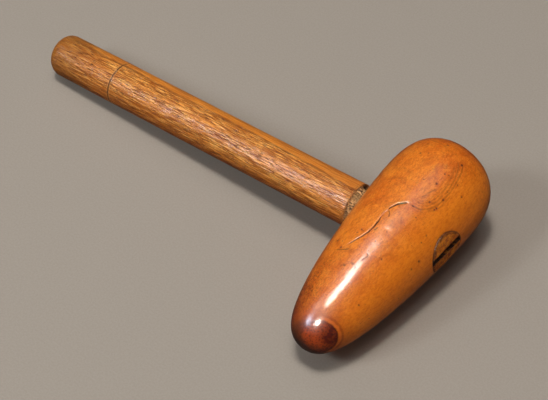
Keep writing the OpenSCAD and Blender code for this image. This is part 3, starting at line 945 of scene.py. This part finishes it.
def handle_material():
    N = Nodes("ash_worn")
    P = N.own()
    xyz = N.split(P)
    X, Y, Z = xyz[0], xyz[1], xyz[2]
    # growth rings: gently bowed sheets along the handle, the outermost of them
    # a smooth band of late wood along its far upper side
    drift = N.math("MULTIPLY_ADD", N.noise(N.own((.011, .05, .05)), 1.0, 2), 2.4, -1.2)
    yy = N.math("ADD", Y, 25.7)
    zz = N.math("ADD", Z, 30.6)
    rad = N.math("SQRT", N.math("ADD", N.math("MULTIPLY", yy, yy), N.math("MULTIPLY", zz, zz)))
    rad = N.math("ADD", N.math("ADD", rad, drift), N.math("MULTIPLY_ADD", X, .009, .75))
    ring = N.math("FRACT", N.math("MULTIPLY", N.math("SUBTRACT", rad, 52.3), 1 / 5.3))
    late = N.math("MULTIPLY", N.ramp(ring, 0.0, .03), N.ramp(ring, .34, .24))
    outer = N.ramp(rad, 51.55, 52.3)
    late = N.math("MAXIMUM", N.math("MULTIPLY", late, .45), outer)
    early = N.math("SUBTRACT", 1, late)
    line = N.math("MULTIPLY", N.ramp(rad, 51.2, 51.6), N.ramp(rad, 52.15, 51.75))
    # long open pores in the early wood, few in the late wood, over a fine weave
    pore = dash_field(N, (.085, 1, 1), 1.60, .70, .30, 3.0)
    pore2 = dash_field(N, (.11, 1, 1), 2.10, .72, .30, 7.0)
    lots = N.math("MAXIMUM", pore, N.math("MULTIPLY", pore2, .85))
    flecks = N.math("MULTIPLY", lots, N.ramp(early, 0, 1, .15, 1))
    weave = N.noise(N.own((.10, 2.7, 2.7)), 1.0, 2, .6)
    weave2 = N.noise(N.own((.085, 1.45, 1.45)), 1.0, 2, .6)
    strength = N.math("MULTIPLY", N.ramp(early, 0, 1, .35, 1), N.ramp(N.noise(N.own((.04, .25, .25)), 1.0, 3), .34, .54, .62, 1))
    base = N.mix(early, srgb(248, 146, 36), srgb(248, 152, 46))
    streak = N.noise(N.own((.035, .9, .9)), 1.0, 4, .62)
    base = N.mix(N.ramp(streak, .46, .66, 0, .42), base, srgb(190, 98, 18))
    base = N.mix(N.ramp(streak, .46, .32, 0, .35), base, srgb(244, 176, 96))
    dark = N.math("MULTIPLY", N.ramp(weave, .48, .54), strength)
    dark2 = N.math("MULTIPLY", N.ramp(weave2, .49, .56), strength)
    # painted light: paler on top, and painted shade: darker along its underside
    painted_top_light = N.ramp(N.math("ADD", Z, N.math("MULTIPLY", Y, -.35)), 5, 12)
    base = N.mix(N.math("MULTIPLY", painted_top_light, .26), base, srgb(255, 176, 84))
    underside_shade = N.ramp(N.math("ADD", Z, N.math("MULTIPLY", Y, .25)), 5, -8)
    base = N.mix(N.math("MULTIPLY", underside_shade, .74), base, srgb(190, 82, 4))
    tan = N.math("MULTIPLY", N.ramp(X, -110, -40), outer)
    base = N.mix(N.math("MULTIPLY", tan, .45), base, srgb(190, 98, 26))
    base = N.mix(N.math("MULTIPLY", dark2, .66), base, N.mix(underside_shade, srgb(150, 68, 8), srgb(100, 38, 3)))
    base = N.mix(N.math("MULTIPLY", N.math("MULTIPLY", N.ramp(weave2, .45, .38), strength), N.ramp(underside_shade, 0, 1, .5, .22)), base, srgb(255, 186, 96))
    base = N.mix(N.math("MULTIPLY", dark, .78), base, N.mix(underside_shade, srgb(142, 66, 8), srgb(96, 38, 4)))
    base = N.mix(N.math("MULTIPLY", N.math("MULTIPLY", N.ramp(weave, .46, .38), strength), N.ramp(underside_shade, 0, 1, .8, .30)), base, srgb(255, 194, 102))
    base = N.mix(N.math("MULTIPLY", line, N.ramp(N.noise(P, .09, 2), .35, .6, .15, .55)), base, srgb(124, 58, 8))
    patch = N.noise(N.own((.25, 1, 1)), .09, 3)
    base = N.mix(N.ramp(patch, .42, .68, 0, .30), base, srgb(186, 98, 26))
    # and at the butt
    butt = N.math("MULTIPLY", N.ramp(N.math("ADD", X, N.math("MULTIPLY", N.noise(P, .12, 2), 14)), -212, -250), .62)
    base = N.mix(butt, base, srgb(150, 92, 30))
    col = N.mix(N.math("MULTIPLY", flecks, .88), base, srgb(92, 42, 8))
    # the groove with a painted highlight along its lips, the shoulder and neck, and the tenon's end, with painted
    # shade in their crevices
    col = N.mix(N.math("MULTIPLY", N.attr("groove_lip_highlight"), .30), col, srgb(232, 164, 92))
    col = N.mix(N.math("MULTIPLY", N.attr("groove"), .90), col, srgb(70, 54, 26))
    dirt = N.noise(P, .75, 4, .65)
    col = N.mix(N.math("MULTIPLY", N.attr("stain"), N.ramp(dirt, .40, .68, .05, .65)), col, srgb(120, 82, 40))
    waste = N.mix(N.ramp(dirt, .36, .62), srgb(150, 98, 50), srgb(226, 174, 116))
    waste = N.mix(N.ramp(N.noise(N.own((.5, 1.6, 1.6)), .8, 3), .50, .60, 0, .85), waste, srgb(62, 42, 22))
    waste = N.mix(N.ramp(N.noise(P, .30, 2), .50, .64, 0, .5), waste, srgb(128, 98, 56))
    col = N.mix(N.attr("neck"), col, waste)
    # painted shade: the recess under the shoulder's torn edge painted near black
    col = N.mix(N.attr("hole"), col, srgb(26, 20, 12))
    face = N.mix(N.ramp(N.noise(P, .35, 3), .35, .65), srgb(240, 142, 22), srgb(196, 92, 8))
    face = N.mix(N.ramp(N.noise(P, 1.3, 3), .48, .66, 0, .5), face, srgb(104, 42, 8))
    face = N.mix(N.ramp(N.noise(P, .26, 2), .50, .62, 0, .55), face, srgb(150, 44, 12))
    face = N.mix(N.ramp(N.noise(P, .8, 2), .44, .30, 0, .5), face, srgb(196, 124, 52))
    col = N.mix(N.math("MULTIPLY", N.attr("cap"), .90), col, face)
    # painted highlight along the tenon end's rounded edge, broken up, then painted shade in patches along it and, with
    # some grime, in the crevice round it
    cap_edge_glint = N.math("MULTIPLY", N.attr("cap_edge_glint_and_shade"), N.ramp(N.noise(P, .55, 2), .52, .60))
    col = N.mix(N.math("MULTIPLY", cap_edge_glint, .45), col, srgb(206, 132, 74))
    col = N.mix(N.math("MULTIPLY", N.attr("cap_edge_glint_and_shade"), N.ramp(N.noise(P, .40, 2), .52, .42, 0, .75)), col, srgb(84, 34, 10))
    col = N.mix(N.math("MULTIPLY", N.attr("rim"), .85), col, srgb(74, 28, 8))
    # painted shade: the kerf's mouth painted near black
    col = N.mix(N.math("MULTIPLY", N.attr("kerf_shade"), .94), col, srgb(30, 14, 7))
    N.put(N.bsdf, "Base Color", col)
    rough = N.ramp(streak, .3, .7, .36, .50)
    rough = N.math("ADD", rough, N.math("MULTIPLY", flecks, .16))
    dull = N.math("MAXIMUM", N.math("MAXIMUM", N.attr("neck"), N.attr("kerf_shade")), N.math("MAXIMUM", N.math("MULTIPLY", N.attr("cap"), .85), N.math("MULTIPLY", N.attr("cap_edge_glint_and_shade"), N.ramp(N.noise(P, .5, 2), .56, .44))))
    rough = N.math("ADD", rough, N.math("MULTIPLY", dull, .35))
    N.put(N.bsdf, "Roughness", rough)
    nb = N.bump(N.math("SUBTRACT", 1, flecks), .00022, .9)
    nb = N.bump(streak, .00030, .6, nb)
    nb = N.bump(N.math("SUBTRACT", 1, dark), .00016, .9, nb)
    nb = N.bump(N.noise(P, 1.1, 3, .6), N_DIST, .6, nb)
    N.put(N.bsdf, "Normal", nb)
    cb = N.bump(N.math("SUBTRACT", 1, flecks), .00010, .9)
    cb = N.bump(streak, .00022, .8, cb)
    cb = N.bump(N.noise(N.own((.045, 1.4, 1.4)), 1.0, 3, .6), .00030, .9, cb)
    N.put(N.bsdf, "Coat Normal", cb)
    N.put(N.bsdf, "Coat Weight", N.math("MULTIPLY", N.math("SUBTRACT", 1, N.math("MAXIMUM", dull, N.math("MAXIMUM", N.math("MULTIPLY", flecks, .9), N.math("MULTIPLY", dark, .70)))), .62))
    N.bsdf.inputs["Coat Roughness"].default_value = .17
    N.bsdf.inputs["Coat IOR"].default_value = 1.5
    N.bsdf.inputs["Specular IOR Level"].default_value = .15
    return N.mat


N_DIST = .00008


def dash_field(N, stretch, scale, share, size, shift):
    """Dark dashes along the grain, in a share of the stretched cells."""
    wob = N.noise(N.own((.03, .4, .4)), 1.0, 2, color=True)
    m = N.t.nodes.new("ShaderNodeVectorMath")
    m.operation = "MULTIPLY_ADD"
    N.put(m, 0, wob)
    m.inputs[1].default_value = (.4, .9, .9)
    N.put(m, 2, N.own(stretch))
    a = N.t.nodes.new("ShaderNodeVectorMath")
    a.operation = "ADD"
    N.put(a, 0, m.outputs[0])
    a.inputs[1].default_value = (shift, shift * .7, shift * 1.3)
    v = N.t.nodes.new("ShaderNodeTexVoronoi")
    N.put(v, "Vector", a.outputs[0])
    v.inputs["Scale"].default_value = scale
    c = N.split(v.outputs["Color"])
    radius = N.math("MULTIPLY_ADD", c[1], size * .5, size * .6)
    edge = N.math("DIVIDE", v.outputs["Distance"], radius)
    return N.math("MULTIPLY", N.ramp(edge, 1.1, .55), N.ramp(c[0], share + .03, share))


def wedge_material():
    N = Nodes("wedge_dark_wood_and_painted_shade")
    P = N.own()
    # dark wood, made near black partly as painted shade of the recessed kerf it sits in
    n = N.noise(N.own((.3, 1, 1.6)), 1.1, 4, .6)
    col = N.mix(N.ramp(n, .35, .68), srgb(52, 30, 16), srgb(28, 17, 11))
    col = N.mix(N.ramp(N.noise(P, 2.2, 3), .55, .75, 0, .5), col, srgb(84, 52, 28))
    N.put(N.bsdf, "Base Color", col)
    N.put(N.bsdf, "Roughness", N.ramp(n, .3, .7, .62, .82))
    N.put(N.bsdf, "Normal", N.bump(n, .0004, .8))
    return N.mat


def floor_material():
    N = Nodes("floor_plain")
    tc = N.t.nodes.new("ShaderNodeTexCoord")
    n = N.noise(tc.outputs["Object"], 900.0, 2, .5)
    col = N.mix(N.ramp(n, .3, .7), srgb(162, 154, 145), srgb(157, 149, 140))
    N.put(N.bsdf, "Base Color", col)
    N.bsdf.inputs["Roughness"].default_value = .85
    N.bsdf.inputs["Specular IOR Level"].default_value = .2
    return N.mat


# ---------------------------------------------------------------- build
head = make_head()
head_attributes(head)
smooth_by_angle(head, 50)
head.data.materials.append(head_material())
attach(head, "root")
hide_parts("head")

handle = make_handle()
handle_attributes(handle)
smooth_by_angle(handle, 40)
handle.data.materials.append(handle_material())
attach(handle, "root")
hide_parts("handle")

wedge = make_wedge()
smooth_by_angle(wedge, 40)
wedge.data.materials.append(wedge_material())
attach(wedge, "root")
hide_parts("wedge")

# ---------------------------------------------------------------- floor, light, camera
fm = bpy.data.meshes.new("floor")
S = 3.0
fm.from_pydata([(-S, -S, 0), (S, -S, 0), (S, S, 0), (-S, S, 0)], [], [(0, 1, 2, 3)])
floor = bpy.data.objects.new("floor", fm)
bpy.context.scene.collection.objects.link(floor)
floor.data.materials.append(floor_material())
floor.visible_glossy = False


def lamp(name, azimuth, elevation, distance, size, power, colour, aim=(0.08, 0.0, 0.03), size_y=None):
    """An area light seen from the object at a compass azimuth (from +Y towards +X)."""
    li = bpy.data.lights.new(name, "AREA")
    li.energy = power
    li.color = colour
    li.shape = "RECTANGLE"
    li.size = size
    li.size_y = size_y or size
    ob = bpy.data.objects.new(name, li)
    bpy.context.scene.collection.objects.link(ob)
    a, e = math.radians(azimuth), math.radians(elevation)
    d = Vector((math.sin(a) * math.cos(e), math.cos(a) * math.cos(e), math.sin(e)))
    ob.location = Vector(aim) + d * distance
    ob.rotation_euler = (-d).to_track_quat("-Z", "Y").to_euler()
    return ob


def panel(name, centre, size_x, size_y, power, colour, gloss=True):
    """A level area light overhead, its sides along X and Y."""
    li = bpy.data.lights.new(name, "AREA")
    li.energy = power
    li.color = colour
    li.shape = "RECTANGLE"
    li.size = size_x
    li.size_y = size_y
    ob = bpy.data.objects.new(name, li)
    bpy.context.scene.collection.objects.link(ob)
    ob.location = centre
    ob.visible_glossy = gloss
    return ob


strip = panel("strip", (-0.015, -0.215, 2.4), 0.62, 1.04, 56, (1.0, .965, .90))
strip.data.shape = "ELLIPSE"
strip.visible_diffuse = False
panel("key", (0.03, -0.29, 2.4), 0.30, 0.42, 28.5, (1.0, .955, .90), False)
panel("main_wide", (0.12, -0.22, 2.4), 1.3, 0.50, 13, (1.0, .93, .85), False)
haze = panel("haze", (-0.70, 0.28, 2.4), 1.1, 0.8, 4, (1.0, .92, .80))
haze.visible_diffuse = False
side = lamp("side", -78, 44, 2.4, 1.5, 5, (1.0, .90, .86))
side.visible_glossy = False
streak = lamp("streak", -129, 57, 2.4, 0.75, 6, (1.0, .93, .86))
streak.visible_diffuse = False
lamp("sheen", 8, 74, 2.4, 1.2, 4, (1.0, .93, .92))
fill = lamp("fill", 112, 34, 2.4, 1.4, 2.9, (1.0, .94, .88))
fill.visible_glossy = False
# a cool window from the left, and a small light that only the gloss picks up
window = lamp("window", -149, 40, 2.6, 0.55, 22, (.88, .93, .92))
window.visible_glossy = False
pane = lamp("pane", -149, 40, 2.6, 0.64, 70, (.68, .80, 1.0))
pane.visible_diffuse = False
small = lamp("small", 168, 49, 2.6, 0.56, 74, (1.0, .95, .86), size_y=0.36)
small.visible_diffuse = False

world = bpy.data.worlds.new("studio")
bpy.context.scene.world = world
world.use_nodes = True
bg = world.node_tree.nodes["Background"]
bg.inputs[0].default_value = (.92, .97, 1.0, 1)
bg.inputs[1].default_value = .022

cam_data = bpy.data.cameras.new("camera")
cam = bpy.data.objects.new("camera", cam_data)
bpy.context.scene.collection.objects.link(cam)
cam_data.sensor_width = 36.0
cam_data.lens = 100.0
cam_data.clip_start = 0.05
# heading, tilt and roll of the view, and where it is taken from
heading, tilt, roll = math.radians(-38.92), math.radians(48.88), math.radians(-0.93)
fwd = Vector((math.sin(heading) * math.cos(tilt), math.cos(heading) * math.cos(tilt), -math.sin(tilt)))
right = Vector((math.cos(heading), -math.sin(heading), 0))
up = right.cross(fwd)
r2 = right * math.cos(roll) + up * math.sin(roll)
u2 = up * math.cos(roll) - right * math.sin(roll)
cam.matrix_world = Matrix((
    (r2.x, u2.x, -fwd.x, 0.40049), (r2.y, u2.y, -fwd.y, -0.44791),
    (r2.z, u2.z, -fwd.z, 0.67422), (0, 0, 0, 1)))
cam_data.shift_x = -(276.5 - 274.0) / 548
bpy.context.scene.camera = cam

vs = bpy.context.scene.view_settings
vs.view_transform = "Standard"
vs.look = "None"
vs.exposure = 0.0

bpy.context.view_layer.update()
